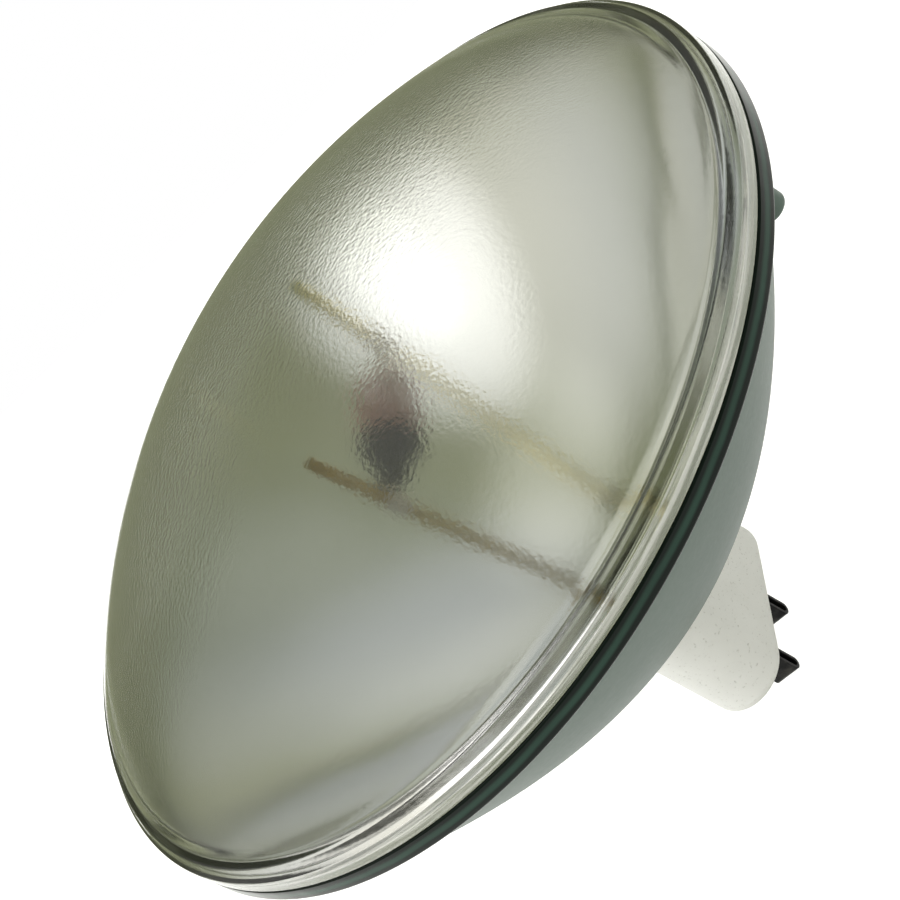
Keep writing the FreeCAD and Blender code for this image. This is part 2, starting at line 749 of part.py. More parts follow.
base_shell = new_body("base_shell")
shell_profile = sketch_on(base_shell, "XY_Plane", "shell_profile", base_end)
stadium(shell_profile, base_half_length, base_half_width)
shell = pad(base_shell, shell_profile, "shell",
            bowl_back_height(base_half_length) + overrun - base_end)
doc.recompute()
end_rim = edges_where(shell, lambda edge: abs(edge.BoundBox.ZMax - base_end.number) < 1e-4)
round_edges(base_shell, shell, end_rim, size("base_rounding"), "shell_rounding")
room_profile = sketch_on(base_shell, "XY_Plane", "room_profile", base_end + base_floor)
stadium(room_profile, base_room_half_length, base_room_half_width)
pad(base_shell, room_profile, "room", -base_end, "PartDesign::Pocket", reverse=True)
slots_profile = sketch_on(base_shell, "XY_Plane", "slots_profile", base_end)
half_slot = prong_thickness / 2 + slot_clearance
half_slot_width = prong_width / 2 + slot_clearance
for sign in (-1, 1):
    outline(slots_profile, [
        (half_prongs * sign - half_slot, -half_slot_width),
        (half_prongs * sign + half_slot, -half_slot_width),
        (half_prongs * sign + half_slot, half_slot_width),
        (half_prongs * sign - half_slot, half_slot_width),
    ])
pad(base_shell, slots_profile, "slots", base_floor + overrun, "PartDesign::Pocket",
    reverse=True)
seat_profile = sketch_on(base_shell, "XZ_Plane", "seat_profile")
seat_gap = size("base_front_gap")
outline(seat_profile, [
    (0, -bowl_depth - seat_gap),
    (bowl_back_radius, -seat_gap),
    (0, -seat_gap),
], parabola=0)
revolve(base_shell, seat_profile, "bowl_seat", "PartDesign::Groove")
nodes.append(base_shell)

# Cement: fills the slot between the neck and the ceramic wall.
base_cement = new_body("base_cement")
cement_profile = sketch_on(base_cement, "XY_Plane", "cement_profile", neck_end)
stadium(cement_profile, base_room_half_length, base_room_half_width)
stadium(cement_profile, neck_half_length, neck_half_width)
pad(base_cement, cement_profile, "cement", size("neck_length") - size("cement_front_gap"))
nodes.append(base_cement)

# Contact prongs: a metal strip folded double, its two feet spread inside the base.
strip = size("strip_thickness")
half_prong = prong_thickness / 2
prong_tip = base_end - size("prong_length")
foot_level = base_end + base_floor
foot_top = foot_level + strip
foot_reach = half_prong + size("prong_foot")
for side, sign in SIDES:
    prong = new_body(f"contact_prong_{side}")
    fold_profile = sketch_on(prong, "XZ_Plane", f"fold_profile_{side}")
    middle = half_prongs * sign
    fold_level = prong_tip + half_prong
    outline(fold_profile, [
        (middle - foot_reach, foot_level),
        (middle - half_prong, foot_level),
        (middle - half_prong, fold_level),
        (middle + half_prong, fold_level),
        (middle + half_prong, foot_level),
        (middle + foot_reach, foot_level),
        (middle + foot_reach, foot_top),
        (middle + half_prong - strip, foot_top),
        (middle + half_prong - strip, fold_level),
        (middle - half_prong + strip, fold_level),
        (middle - half_prong + strip, foot_top),
        (middle - foot_reach, foot_top),
    ], arcs={2: (half_prong, 1), 8: (half_prong - strip, -1)})
    pad(prong, fold_profile, f"fold_{side}", prong_width, midplane=True)
    nodes.append(prong)

# Inner wires: from the back of each ferrule to the outer foot of its prong.
wire_radius = size("wire_radius")
wire_end = half_prongs + half_prong + size("prong_foot") / 2
for side, sign in SIDES:
    wire = new_body(f"inner_wire_{side}")
    wire_path = sketch_on(wire, "XZ_Plane", f"wire_path_{side}")
    run = bent_path(wire_path, [
        (half_ferrules * sign, ferrule_back),
        (half_ferrules * sign, ferrule_back - size("wire_drop")),
        (wire_end * sign, foot_top + size("wire_rise")),
        (wire_end * sign, foot_top),
    ], size("wire_bend_radius"))
    wire_section = sketch_on(wire, "XY_Plane", f"wire_section_{side}", ferrule_back)
    circle(wire_section, half_ferrules * sign, 0, wire_radius)
    pipe(wire, wire_section, wire_path, run, f"wire_sweep_{side}")
    nodes.append(wire)

doc.recompute()

faults = []
for item in doc.Objects:
    if "Invalid" in item.State or "Error" in item.State:
        faults.append(f"{item.Label}: {item.State}")
for node in nodes:
    if node.Shape.isNull() or not node.Shape.isValid():
        faults.append(f"{node.Label}: shape is empty or not valid")
if faults:
    raise RuntimeError("; ".join(faults))

for node in nodes:
    node.Shape.exportStep(os.path.join("parts", f"{node.Label}.step"))
    box = node.Shape.BoundBox
    print(f"{node.Label}: {len(node.Shape.Solids)} solid, {node.Shape.Volume:.1f} mm3, "
          f"x {box.XMin:.1f} to {box.XMax:.1f}, y {box.YMin:.1f} to {box.YMax:.1f}, "
          f"z {box.ZMin:.1f} to {box.ZMax:.1f}")
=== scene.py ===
# %% [markdown]
# A sealed-beam spotlight lamp: a pressed glass bowl, silvered inside, closed by a domed and
# finely stippled glass lens, with a white ceramic base and two folded prongs behind it. The CAD
# model gives every piece its place. Here each visible surface gets a finer mesh and a finish.

# %% Load the frame
import math

import bpy
import numpy as np
from mathutils import Matrix, Vector


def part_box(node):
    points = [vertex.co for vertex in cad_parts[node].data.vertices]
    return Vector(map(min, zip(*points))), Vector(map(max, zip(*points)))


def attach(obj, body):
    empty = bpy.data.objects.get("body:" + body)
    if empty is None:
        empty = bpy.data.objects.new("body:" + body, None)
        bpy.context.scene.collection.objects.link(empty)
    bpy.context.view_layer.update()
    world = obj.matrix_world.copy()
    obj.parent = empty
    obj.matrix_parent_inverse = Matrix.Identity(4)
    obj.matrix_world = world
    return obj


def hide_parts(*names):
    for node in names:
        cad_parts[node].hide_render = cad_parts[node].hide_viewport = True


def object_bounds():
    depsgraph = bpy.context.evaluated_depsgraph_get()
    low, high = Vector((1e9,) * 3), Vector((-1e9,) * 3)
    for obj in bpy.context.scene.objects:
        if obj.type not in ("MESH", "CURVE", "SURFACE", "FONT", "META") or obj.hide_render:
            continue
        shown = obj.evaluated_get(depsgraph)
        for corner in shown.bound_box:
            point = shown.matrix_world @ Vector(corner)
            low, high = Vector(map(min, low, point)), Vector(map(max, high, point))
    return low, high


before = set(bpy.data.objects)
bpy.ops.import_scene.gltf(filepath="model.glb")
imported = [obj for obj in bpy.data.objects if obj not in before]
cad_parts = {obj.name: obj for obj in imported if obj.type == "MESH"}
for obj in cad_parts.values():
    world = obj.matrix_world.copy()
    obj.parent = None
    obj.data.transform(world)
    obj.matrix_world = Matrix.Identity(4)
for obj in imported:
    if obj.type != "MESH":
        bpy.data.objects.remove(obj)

CAD_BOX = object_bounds()
MM = 0.001
LENS_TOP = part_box("front_lens")[1].z / MM
RIM_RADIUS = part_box("front_lens")[1].x / MM
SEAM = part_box("front_lens")[0].z / MM
BASE_LOW, BASE_HIGH = (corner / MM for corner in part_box("base_shell"))
PRONG_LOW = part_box("contact_prong_left")[0] / MM
print(f"lens top {LENS_TOP:.1f} mm, rim radius {RIM_RADIUS:.1f} mm, seam at {SEAM:.1f} mm")

# %% [markdown]
# The camera stands where the photographer's did. It was found from the circles of the rim: the
# lamp's axis leans 60 degrees away from the view, and the picture is turned about the view by
# nearly 30 degrees. The three axes of the camera are written out as vectors, because a lamp that
# is held at a slant has no simple pair of angles to aim with.

# %% The camera
LENS_LENGTH = 124.0
SENSOR_WIDTH = 36.0
AXIS_TO_VIEW = math.radians(60.09)
PICTURE_TURN = math.radians(29.53)
TURN_ABOUT_AXIS = math.radians(55.0)
CAMERA_DISTANCE = 647.9
AIM_HEIGHT = 10.19
AIM_ACROSS, AIM_DOWN = 12.04, -5.51
NEAREST_SEEN = 0.05


def camera_axes():
    """The camera's right, up and back vectors, worked out from the three angles."""
    lean, turn, about = AXIS_TO_VIEW, PICTURE_TURN, TURN_ABOUT_AXIS
    along = Vector((0, 0, 1))
    level = Vector((math.cos(about), -math.sin(about), 0))
    towards = Vector((math.sin(about), math.cos(about), 0))
    back = math.sin(lean) * towards + math.cos(lean) * along
    tipped = math.cos(lean) * towards - math.sin(lean) * along
    right = math.cos(turn) * tipped - math.sin(turn) * level
    up = -math.cos(turn) * level - math.sin(turn) * tipped
    return right, up, back


right, up, back = camera_axes()
place = Vector((0, 0, AIM_HEIGHT)) + AIM_ACROSS * right + AIM_DOWN * up + CAMERA_DISTANCE * back
camera = bpy.data.objects.new("camera", bpy.data.cameras.new("camera"))
camera.data.lens = LENS_LENGTH
camera.data.sensor_width = SENSOR_WIDTH
camera.data.clip_start = NEAREST_SEEN
bpy.context.scene.collection.objects.link(camera)
camera.matrix_world = Matrix((
    (right.x, up.x, back.x, place.x * MM),
    (right.y, up.y, back.y, place.y * MM),
    (right.z, up.z, back.z, place.z * MM),
    (0, 0, 0, 1)))
bpy.context.scene.camera = camera
bpy.context.scene.view_settings.view_transform = "Standard"
print(f"camera at {tuple(round(v, 3) for v in camera.matrix_world.translation)}")

# %% [markdown]
# Materials are sums and products of numbers that vary over a surface. To write them as
# arithmetic, a small class holds one socket and turns each operator into a Math node. Every
# other node comes from one method, which sets the node up first and then fills its sockets.

# %% Shader arithmetic
class Wire:
    """A number that varies over a surface: the output of some node of a finish."""

    def __init__(self, finish, socket):
        self.finish = finish
        self.socket = socket

    def math(self, operation, *values):
        """A Math node of this kind, fed with the given values in their order."""
        return self.finish.node("ShaderNodeMath", {"operation": operation},
                                dict(enumerate(values)))

    def __add__(self, other):
        return self.math("ADD", self, other)

    def __radd__(self, other):
        return self.math("ADD", other, self)

    def __sub__(self, other):
        return self.math("SUBTRACT", self, other)

    def __rsub__(self, other):
        return self.math("SUBTRACT", other, self)

    def __mul__(self, other):
        return self.math("MULTIPLY", self, other)

    def __rmul__(self, other):
        return self.math("MULTIPLY", other, self)

    def step(self, low, high):
        """0 below low, 1 above high and a smooth climb between them."""
        return self.finish.node(
            "ShaderNodeMapRange", {"interpolation_type": "SMOOTHSTEP"},
            {"Value": self, "From Min": low, "From Max": high})


class Finish:
    """One material, or the world, and the nodes that are added to it."""

    def __init__(self, name, holder=None):
        self.holder = holder or bpy.data.materials.new(name)
        self.holder.use_nodes = True
        self.tree = self.holder.node_tree
        self.tree.nodes.clear()

    def node(self, kind, settings=None, sockets=None, out=0):
        """Adds a node, sets it up, fills its sockets and returns one of its outputs."""
        made = self.tree.nodes.new(kind)
        for key, value in (settings or {}).items():
            setattr(made, key, value)
        for key, value in (sockets or {}).items():
            socket = made.inputs[key] if isinstance(key, int) else next(
                one for one in made.inputs if key in (one.identifier, one.name))
            if isinstance(value, Wire):
                self.tree.links.new(value.socket, socket)
            else:
                if socket.type == "RGBA" and len(value) == 3:
                    value = (*value, 1)
                socket.default_value = value
        if isinstance(out, int):
            return Wire(self, made.outputs[out])
        return Wire(self, next(one for one in made.outputs if out in (one.identifier, one.name)))

    def place(self):
        """The point of the surface in the object's own metres."""
        return self.node("ShaderNodeTexCoord", out="Object")

    def split(self, vector):
        """The three parts of a vector."""
        separated = self.node("ShaderNodeSeparateXYZ", None, {0: vector})
        parts = separated.socket.node.outputs
        return [Wire(self, part) for part in parts]

    def noise(self, scale, detail=2.0, where=None):
        """A cloudy number around one half, with about scale lumps to the metre."""
        return self.node("ShaderNodeTexNoise", None, {
            "Vector": where or self.place(), "Scale": scale, "Detail": detail})

    def blend(self, factor, first, second):
        """A colour between two colours."""
        return self.node("ShaderNodeMix", {"data_type": "RGBA"}, {
            "Factor_Float": factor, "A_Color": first, "B_Color": second}, out="Result_Color")

    def bump(self, height, depth):
        """A normal bent by a height, which is depth metres for each unit."""
        return self.node("ShaderNodeBump", None, {"Height": height, "Distance": depth})

    def principled(self, **sockets):
        """A Principled shader; an underscore in a name stands for a space."""
        named = {key.replace("_", " "): value for key, value in sockets.items()}
        return self.node("ShaderNodeBsdfPrincipled", None, named)

    def surface(self, shader):
        """Sends a shader to the output and returns the material or the world."""
        world = isinstance(self.holder, bpy.types.World)
        output = self.tree.nodes.new("ShaderNodeOutputWorld" if world
                                     else "ShaderNodeOutputMaterial")
        self.tree.links.new(shader.socket, output.inputs["Surface"])
        return self.holder


# %% [markdown]
# The studio is plain: a pale floor, a pale room that is brighter on one side, and one weak round
# lamp. A mirror behind glass shows little of itself and much of the room, so gloss and glass see
# a dim olive room with a few soft round lights in it. Their places and tones were found by
# fitting what the mirror shows at some thirty spots of the photograph; the strongest of them is
# the large white glare. Matt surfaces see the plain fill alone. The white ground comes from the
# rays that go straight to the camera, and not from stronger light on the lamp. The light of so
# smooth a room needs no sampling of its own, so that is switched off to save time.

# %% The studio
FLOOR_DROP = 2.0
FLOOR_SIZE = 0.7
FLOOR_COLOUR = (0.60, 0.60, 0.57)
FLOOR_GLOW = 0.70
FILL_DIM = (0.82, 0.82, 0.76)
FILL_BRIGHT = (2.10, 2.10, 2.05)
FILL_FADE = (0.05, 0.80)
BRIGHT_SIDE = Vector((-0.07, -0.65, 0.75)).normalized()
SHOWN_EVEN = (0.252, 0.269, 0.163)
SOFT_BOX_WAY = Vector((0.54, -0.20, 0.83)).normalized()
SOFT_BOX_DISTANCE = 1.3
SOFT_BOX_SIZE = 0.45
SOFT_BOX_WATTS = 0.25
SOFT_LIGHTS = (
    (Vector((0.56, -0.21, 0.80)), 29.5, (1.25, 1.22, 1.35)),
    (Vector((0.23, -0.83, 0.50)), 45.0, (0.56, 0.54, 0.61)),
    (Vector((-0.18, -0.30, 0.93)), 28.0, (0.42, 0.41, 0.40)),
    (Vector((-0.62, 0.03, 0.78)), 37.0, (0.28, 0.275, 0.36)),
    (Vector((-0.86, 0.05, 0.50)), 30.0, (0.09, 0.085, 0.06)),
    (Vector((0.65, -0.50, 0.57)), 45.0, (0.14, 0.12, 0.06)),
    (Vector((-0.50, 0.54, 0.68)), 48.0, (0.000, 0.010, 0.060)),
)


def add_floor():
    """A flat square just below the prongs."""
    half = FLOOR_SIZE / 2
    level = CAD_BOX[0].z - FLOOR_DROP * MM
    mesh = bpy.data.meshes.new("floor")
    mesh.from_pydata([(-half, -half, level), (half, -half, level),
                      (half, half, level), (-half, half, level)], [], [(0, 1, 2, 3)])
    floor = bpy.data.objects.new("floor", mesh)
    bpy.context.scene.collection.objects.link(floor)
    finish = Finish("floor paint")
    seen = (finish.node("ShaderNodeLightPath", out="Is Camera Ray")
            + finish.node("ShaderNodeLightPath", out="Is Glossy Ray")
            + finish.node("ShaderNodeLightPath", out="Is Transmission Ray"))
    paint = finish.node("ShaderNodeBsdfDiffuse", None, {"Color": FLOOR_COLOUR})
    glow = finish.node("ShaderNodeEmission", None, {
        "Color": (1, 1, 1), "Strength": seen * FLOOR_GLOW})
    mesh.materials.append(finish.surface(
        finish.node("ShaderNodeAddShader", None, {0: paint, 1: glow})))


def light_room():
    """White to the camera, an even fill to matt surfaces, and soft lights to gloss and glass.

    A soft light adds its colour times a smooth climb of the cosine between the way of a ray
    and the way to the light, from 0 at its edge to 1 at its middle.
    """
    world = bpy.data.worlds.new("studio")
    world.cycles.sampling_method = "NONE"
    bpy.context.scene.world = world
    finish = Finish("studio", world)
    way = finish.node("ShaderNodeTexCoord", out="Generated")

    def towards(aim):
        return finish.node("ShaderNodeVectorMath", {"operation": "DOT_PRODUCT"},
                           {0: way, 1: tuple(Vector(aim).normalized())}, out="Value")

    fill = finish.blend(towards(BRIGHT_SIDE).step(*FILL_FADE), FILL_DIM, FILL_BRIGHT)
    shown = SHOWN_EVEN
    for aim, half, colour in SOFT_LIGHTS:
        near = towards(aim).step(math.cos(math.radians(half)), 1.0)
        shown = finish.node("ShaderNodeMix", {"data_type": "RGBA", "blend_type": "ADD"}, {
            "Factor_Float": near, "A_Color": shown, "B_Color": colour}, out="Result_Color")
    matt = finish.node("ShaderNodeLightPath", out="Is Diffuse Ray")
    seen = finish.node("ShaderNodeLightPath", out="Is Camera Ray")
    tone = finish.blend(seen, finish.blend(matt, shown, fill), (1.0, 1.0, 1.0))
    finish.surface(finish.node("ShaderNodeBackground", None, {"Color": tone}))


def add_soft_box(name, way, distance, size, watts):
    """A round area lamp that faces the origin, which lies in the middle of the rim."""
    data = bpy.data.lights.new(name, "AREA")
    data.shape = "DISK"
    data.size = size
    data.energy = watts
    lamp = bpy.data.objects.new(name, data)
    bpy.context.scene.collection.objects.link(lamp)
    lamp.location = way * distance
    lamp.rotation_mode = "QUATERNION"
    lamp.rotation_quaternion = way.to_track_quat("Z", "Y")
    lamp.visible_camera = False


add_floor()
light_room()
add_soft_box("soft_box", SOFT_BOX_WAY, SOFT_BOX_DISTANCE, SOFT_BOX_SIZE, SOFT_BOX_WATTS)
print("studio lit")

# %% [markdown]
# Nearly everything here is turned, blown or pressed, so a piece starts as a profile: a row of
# points that is carried round an axis. The helpers below build such profiles from arcs, from
# parabolas and from runs with rounded corners, and put whole grids of points into a mesh.

# %% Profiles
def arc(centre, radius, start, finish, count):
    """Points of a circle: centre plus radius times the cosine and sine of an even angle."""
    angle = np.radians(np.linspace(start, finish, count))
    return np.stack([centre[0] + radius * np.cos(angle), centre[1] + radius * np.sin(angle)], 1)


def parabola(vertex, rim, count):
    """Height is the vertex's plus the climb times the square of radius over rim radius."""
    share = np.linspace(0.0, 1.0, count)
    return np.stack([rim[0] * share, vertex + (rim[1] - vertex) * share ** 2], 1)


def rounded_run(corners, radii, steps):
    """A run of straights in which an arc, tangent to both sides, takes each corner's place."""
    points = np.array(corners, float)
    parts = [points[:1]]
    for before, corner, after, radius in zip(points, points[1:], points[2:], radii):
        back_way = (before - corner) / np.linalg.norm(before - corner)
        on_way = (after - corner) / np.linalg.norm(after - corner)
        half = math.acos(np.clip(back_way @ on_way, -1, 1)) / 2
        middle = (back_way + on_way) / np.linalg.norm(back_way + on_way)
        centre = corner + middle * radius / math.sin(half)
        first = corner + back_way * radius / math.tan(half) - centre
        last = corner + on_way * radius / math.tan(half) - centre
        share = np.linspace(0, 1, steps)[:, None]
        way = first * (1 - share) + last * share
        parts.append(centre + radius * way / np.linalg.norm(way, axis=1)[:, None])
    parts.append(points[-1:])
    return np.vstack(parts)


def spaced(run, gap):
    """The same run with points added so that none is further than gap from the next."""
    lengths = np.linalg.norm(np.diff(run, axis=0), axis=1)
    counts = np.maximum(1, np.ceil(lengths / gap)).astype(int)
    parts = [a + (b - a) * np.arange(n)[:, None] / n for a, b, n in zip(run, run[1:], counts)]
    return np.vstack(parts + [run[-1:]])


# %% Meshes from grids
def put_mesh(name, points, faces, finishes):
    """A smooth mesh from points in millimetres and arrays of faces with equal corner counts."""
    mesh = bpy.data.meshes.new(name)
    mesh.vertices.add(len(points))
    mesh.vertices.foreach_set("co", (np.asarray(points, np.float32) * MM).ravel())
    corners = np.concatenate([np.asarray(part, np.int32).ravel() for part in faces])
    counts = np.concatenate([np.full(len(part), np.shape(part)[1]) for part in faces])
    mesh.loops.add(len(corners))
    mesh.loops.foreach_set("vertex_index", corners)
    mesh.polygons.add(len(counts))
    starts = np.concatenate([[0], np.cumsum(counts)[:-1]]).astype(np.int32)
    mesh.polygons.foreach_set("loop_start", starts)
    mesh.polygons.foreach_set("use_smooth", np.full(len(counts), True))
    mesh.update(calc_edges=True)
    mesh.validate()
    for finish in finishes:
        mesh.materials.append(finish)
    piece = bpy.data.objects.new(name, mesh)
    bpy.context.scene.collection.objects.link(piece)
    return piece


def ring_faces(rings, steps, closed=False):
    """Quads between each ring and the next, all the way round.

    With closed, the last ring is also joined to the first.
    """
    count = rings if closed else rings - 1
    ring, step = np.meshgrid(np.arange(count), np.arange(steps), indexing="ij")
    following, beside = (ring + 1) % rings, (step + 1) % steps
    return np.stack([ring * steps + step, following * steps + step,
                     following * steps + beside, ring * steps + beside], -1).reshape(-1, 4)


def turned(name, profile, finishes, steps):
    """A profile of radius and height turned about the upright axis.

    A point of ring i at angle t is (radius cos t, radius sin t, height). A profile that starts
    and ends on the axis is closed by a fan at each end; any other is joined end to start.
    """
    profile = np.asarray(profile, float)
    poles = profile[0, 0] < 1e-6 and profile[-1, 0] < 1e-6
    rings = profile[1:-1] if poles else profile
    angle = np.linspace(0, 2 * math.pi, steps, endpoint=False)
    points = np.stack([rings[:, :1] * np.cos(angle), rings[:, :1] * np.sin(angle),
                       np.repeat(rings[:, 1:], steps, 1)], -1).reshape(-1, 3)
    faces = [ring_faces(len(rings), steps, closed=not poles)]
    if poles:
        first = np.arange(steps)
        beside = np.roll(first, -1)
        last = (len(rings) - 1) * steps
        count = len(points)
        points = np.vstack([points, [0, 0, profile[0, 1]], [0, 0, profile[-1, 1]]])
        faces.append(np.stack([np.full(steps, count), first, beside], -1))
        faces.append(np.stack([last + first, np.full(steps, count + 1), last + beside], -1))
    return put_mesh(name, points, faces, finishes)


def lofted(name, rows, finishes):
    """A skin over rows of points, each row a loop, with a flat cap at each end."""
    count, steps = rows.shape[:2]
    loop = np.arange(steps)
    caps = [loop[None, :], ((count - 1) * steps + loop)[None, ::-1]]
    return put_mesh(name, rows.reshape(-1, 3), [ring_faces(count, steps)] + caps, finishes)


def face_centres(piece):
    """The centres of all faces in millimetres."""
    centres = np.empty(len(piece.data.polygons) * 3, np.float32)
    piece.data.polygons.foreach_get("center", centres)
    return centres.reshape(-1, 3) / MM


def finish_faces(piece, index):
    """Gives each face its material by number."""
    piece.data.polygons.foreach_set("material_index", np.asarray(index, np.int32))
    piece.data.update()


def combine(piece, others, operation):
    """Adds solids to a piece, or takes them away, and removes them."""
    for other in others:
        modifier = piece.modifiers.new("combine", "BOOLEAN")
        modifier.operation = operation
        modifier.solver = "MANIFOLD"
        modifier.object = other
        graph = bpy.context.evaluated_depsgraph_get()
        mesh = bpy.data.meshes.new_from_object(piece.evaluated_get(graph))
        piece.modifiers.clear()
        piece.data = mesh
        bpy.data.objects.remove(other)
    mesh.name = piece.name
    mesh.materials.clear()
    return piece


def keep_edges(piece, degrees):
    """Smooth shading, apart from edges that turn by more than some degrees."""
    piece.data.polygons.foreach_set("use_smooth", np.full(len(piece.data.polygons), True))
    piece.data.set_sharp_from_angle(angle=math.radians(degrees))


def moved(piece, x=0.0, y=0.0, z=0.0):
    """Shifts a mesh inside its object, in millimetres."""
    piece.data.transform(Matrix.Translation(Vector((x, y, z)) * MM))
    return piece


def own(piece, slot, *nodes):
    """Hangs a finished piece on the lamp's one body and lets it stand for its CAD nodes."""
    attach(piece, "root")
    if nodes:
        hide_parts(*nodes)
    print(f"{piece.name}: {len(piece.data.polygons)} faces")
    return piece


# %% [markdown]
# The lens is thick borosilicate glass. Its outer face is smooth, and its inner face is stippled:
# pressed with small round dimples that blur what lies behind it. Both faces are one glass
# shader; the inner one gets its normals bent by two sizes of rounded lumps, each under a
# millimetre and a half wide. They grow shallower towards the edge, where the glass is seen at a
# slant and full dimples would look like creases.

# %% Glass finishes
GLASS_IOR = 1.474
GLASS_TINT = (0.955, 0.966, 0.946)
GLASS_PALE, GLASS_CLEAR = (0.965, 0.976, 0.952), (0.975, 0.985, 0.965)
WAVE_DEPTH = 0.00008
STIPPLE_CELLS = 1500.0
STIPPLE_DEPTH = 0.000055
STIPPLE_FULL, STIPPLE_FADED = 0.030, 0.085      # metres from the axis
STIPPLE_LOSS = 0.68


def lens_outside():
    """Clear pressed glass with a faint long waviness."""
    finish = Finish("lens glass outside")
    wave = finish.noise(60.0, 0.0)
    fine = finish.noise(800.0, 0.0)
    return finish.surface(finish.principled(
        Base_Color=finish.blend(wave, GLASS_TINT, GLASS_PALE),
        Roughness=0.08 + fine * 0.06, IOR=GLASS_IOR, Transmission_Weight=1.0,
        Normal=finish.bump(wave * 0.5 + fine * 0.15, WAVE_DEPTH)))


def lens_inside():
    """The stippled face: lumps of two sizes, shallower as the square of the radius grows."""
    finish = Finish("lens glass stippled")
    coarse = finish.noise(STIPPLE_CELLS * 0.7, 0.0)
    fine = finish.noise(STIPPLE_CELLS * 1.5, 0.0)
    x, y, z = finish.split(finish.place())
    shallow = 1.0 - (x * x + y * y).step(STIPPLE_FULL ** 2, STIPPLE_FADED ** 2) * STIPPLE_LOSS
    return finish.surface(finish.principled(
        Base_Color=finish.blend(coarse, GLASS_TINT, GLASS_CLEAR),
        Roughness=0.18, IOR=GLASS_IOR, Transmission_Weight=1.0,
        Normal=finish.bump((coarse + fine * 0.5) * shallow, STIPPLE_DEPTH)))


# %% [markdown]
# The flat band round the lens's foot is clear glass with its reflections painted in: cream streaks
# are painted highlights and grey streaks are painted dark reflections, and both run along it. The
# streaks are a noise whose place is squeezed across the band: it reads the angle round the axis
# slowly and the height quickly.

# %% The band's finish
# Painted reflection: cream for painted highlights and grey for painted dark streaks.
BAND_PAINTED_HIGHLIGHT, BAND_PAINTED_DARK = (0.68, 0.68, 0.65), (0.14, 0.16, 0.14)
BAND_SQUEEZE = 0.03
BAND_DEPTH = 0.00010
# How much of the band the painted reflection covers: a least share, more on the streaks, and some
# in clouds.
PAINTED_STREAKS_LEAST, PAINTED_STREAKS_SHARE, PAINTED_STREAKS_CLOUDS = 0.14, 0.34, 0.3


def lens_band():
    """Clear glass that gives way, in streaks and clouds, to painted reflection: cream painted
    highlights and grey painted dark streaks.
    """
    finish = Finish("lens glass band")
    x, y, z = finish.split(finish.place())
    squeezed = finish.node("ShaderNodeCombineXYZ", None, {
        0: x * BAND_SQUEEZE, 1: y * BAND_SQUEEZE, 2: z})
    streak = finish.noise(900.0, 2.0, squeezed)
    cloud = finish.noise(30.0, 3.0)
    clear = finish.principled(Base_Color=GLASS_TINT, Roughness=0.08, IOR=GLASS_IOR,
                              Transmission_Weight=1.0, Normal=finish.bump(streak, BAND_DEPTH))
    # An opaque layer of painted reflection, with cream painted highlights and grey painted dark
    # streaks, mixed over the clear glass.
    painted_reflection = finish.principled(
        Base_Color=finish.blend(streak.step(0.38, 0.62), BAND_PAINTED_DARK, BAND_PAINTED_HIGHLIGHT),
        Roughness=0.25, IOR=GLASS_IOR, Normal=finish.bump(streak, BAND_DEPTH))
    amount = (PAINTED_STREAKS_LEAST + streak.step(0.40, 0.66) * PAINTED_STREAKS_SHARE
              + (cloud - 0.5) * PAINTED_STREAKS_CLOUDS)
    return finish.surface(finish.node(
        "ShaderNodeMixShader", None, {0: amount, 1: clear, 2: painted_reflection}))


# %% [markdown]
# The lens's outline runs from the middle of the dome out to its edge, over a small step and the
# rounded bead, down the band of the rim, and back inside to the middle. Turned about the axis it
# becomes one closed shell, which is what glass needs: light must find a way in and a way out.

# %% The lens
DOME_EDGE = (97.4, 12.9)
LENS_WALL = 4.6
LENS_BORE = 94.2
RIM_BORE = 95.4
BORE_TOP = 8.0
BAND_TOP = 9.2
BEAD_OUTER = 100.7
SEAM_GAP = 0.04


def sphere_through(top, edge):
    """Radius and centre height of the sphere whose pole is top and that holds an edge circle."""
    rise = top - edge[1]
    radius = (edge[0] ** 2 + rise ** 2) / (2 * rise)
    return radius, top - radius


def lens_profile():
    """The lens's closed outline, from the outer pole to the inner pole."""
    radius, centre = sphere_through(LENS_TOP, DOME_EDGE)
    inner = radius - LENS_WALL
    edge_angle = math.degrees(math.acos(DOME_EDGE[0] / radius))
    bore_angle = math.degrees(math.acos(LENS_BORE / inner))
    outside = arc((0, centre), radius, 90, edge_angle, 70)
    inside = arc((0, centre), inner, bore_angle, 90, 70)
    outside[0, 0] = inside[-1, 0] = 0
    foot = SEAM + SEAM_GAP
    rim = rounded_run([
        outside[-1], (DOME_EDGE[0] + 0.5, DOME_EDGE[1] - 1.0),
        (BEAD_OUTER - 1.2, DOME_EDGE[1] - 1.3), (BEAD_OUTER, BAND_TOP + 0.6),
        (RIM_RADIUS, BAND_TOP - 0.1), (RIM_RADIUS, foot), (RIM_BORE, foot),
        (RIM_BORE, BORE_TOP), inside[0],
    ], (0.3, 1.1, 0.3, 0.5, 0.5, 0.3, 0.4), steps=6)
    return np.vstack([outside[:-1], spaced(rim, 0.9), inside[1:]])


lens = turned("lens", lens_profile(), [lens_outside(), lens_inside(), lens_band()], steps=320)
centres = face_centres(lens)
dome_radius, dome_centre = sphere_through(LENS_TOP, DOME_EDGE)
from_centre = np.linalg.norm(centres - [0, 0, dome_centre], axis=1)
reach = np.hypot(centres[:, 0], centres[:, 1])
is_stippled = (from_centre < dome_radius - LENS_WALL * 0.8) & (reach < LENS_BORE)
is_band = (reach > RIM_RADIUS - 0.3) & (centres[:, 2] < BAND_TOP)
finish_faces(lens, np.where(is_stippled, 1, np.where(is_band, 2, 0)))
own(lens, "lens_glass", "front_lens")

